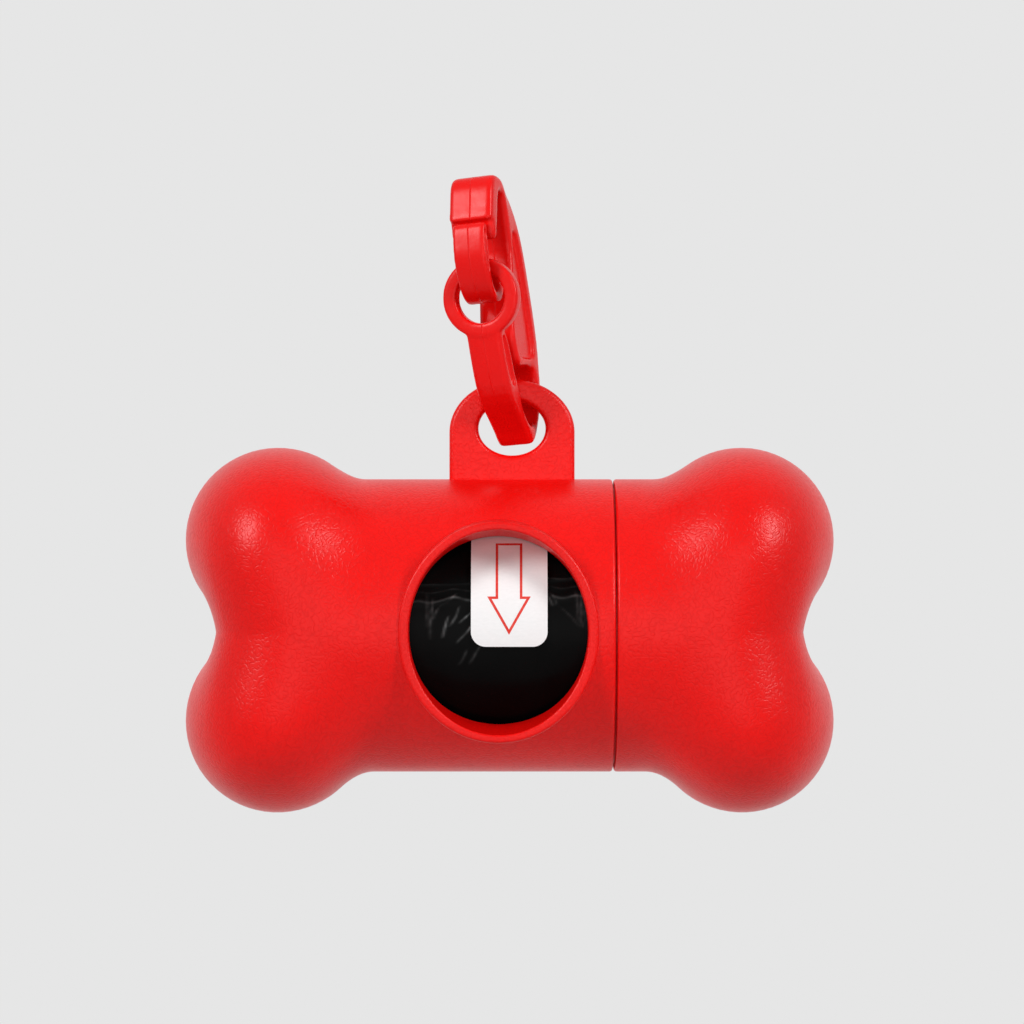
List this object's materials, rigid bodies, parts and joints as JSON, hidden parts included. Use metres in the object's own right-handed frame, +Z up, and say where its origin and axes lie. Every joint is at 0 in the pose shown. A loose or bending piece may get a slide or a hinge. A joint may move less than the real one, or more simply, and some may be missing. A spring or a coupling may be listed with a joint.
{
  "type": "dog poop bag dispenser",
  "caption": "Bone-shaped red plastic dispenser for rolled waste bags, with a round front window, a pull-off end cap and a snap clip in its lug.",
  "frame": {"origin": "centre of the oval eye in the lug that carries the clip, on the lug's middle plane", "axes": "+X along the bone towards its cap, -Y towards the side with the window, +Z up when it hangs"},
  "size_m": [0.0848, 0.0388, 0.0829],
  "materials": {
    "shell": "fine moulded grain, satin",
    "clip": "smooth moulded, soft gloss",
    "film": "glossy thin polythene film",
    "cardboard": "raw brown board",
    "paper": "uncoated white paper"
  },
  "bodies": {
    "clip": {"hook": "clip"},
    "gate": {"gate": "clip"},
    "holder": {"holder": "shell"},
    "cap": {"cap": "shell"},
    "roll": {"roll_core": "cardboard", "bag_roll": "film", "leading_bag": "film", "paper_band": "paper"}
  },
  "joints": [
    {"name": "gate_hinge", "type": "hinge", "parent": "clip", "child": "gate", "pos_m": [-0.00423, -0.00789, 0.02037], "axis": [0.9361, -0.342, 0.0819], "range_deg": [0, 100]},
    {"name": "holder_swing", "type": "hinge", "parent": "clip", "child": "holder", "pos_m": [0, 0, 0.00498], "axis": [0.9361, -0.342, 0.0819], "range_deg": [-90, 90]},
    {"name": "cap_pull", "type": "slide", "parent": "holder", "child": "cap", "axis": [1, 0, 0], "range_m": [0, 0.04]},
    {"name": "roll_spin", "type": "hinge", "parent": "holder", "child": "roll", "pos_m": [-0.0003, 0, -0.0258], "axis": [1, 0, 0], "continuous": true}
  ]
}
